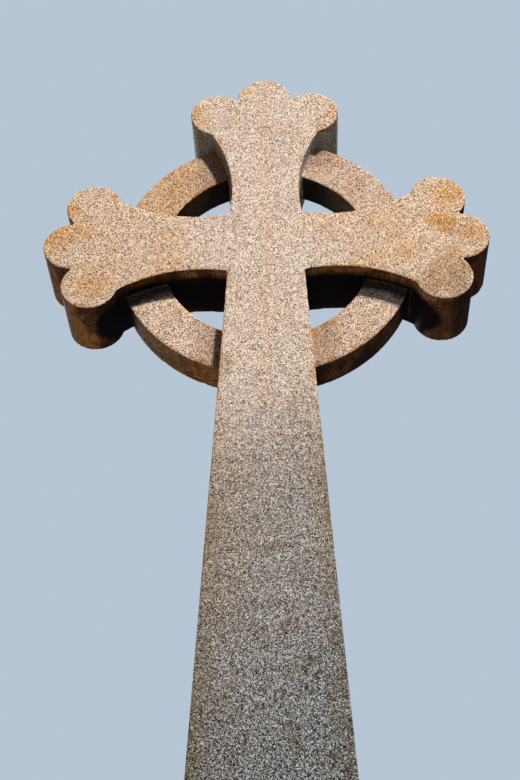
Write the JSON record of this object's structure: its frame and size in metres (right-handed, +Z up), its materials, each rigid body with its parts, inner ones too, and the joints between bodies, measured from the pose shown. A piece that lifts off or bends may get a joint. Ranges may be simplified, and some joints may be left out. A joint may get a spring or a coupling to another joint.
{
  "type": "celtic cross gravestone",
  "caption": "Granite cross gravestone with trefoil arm ends, a plain ring round the crossing and a tapering shaft on a low plinth.",
  "frame": {"origin": "centre of the plinth's underside, on the ground", "axes": "+Z up along the shaft, front of the cross towards -Y, arms along X"},
  "size_m": [0.9, 0.46, 2.85],
  "materials": {
    "cross_granite": "bush-hammered grained granite, matte, with brown weather stains",
    "plinth_granite": "bush-hammered grained granite, matte, dulled near the ground"
  },
  "bodies": {
    "root": {"cross": "cross_granite", "plinth": "plinth_granite"}
  },
  "joints": []
}
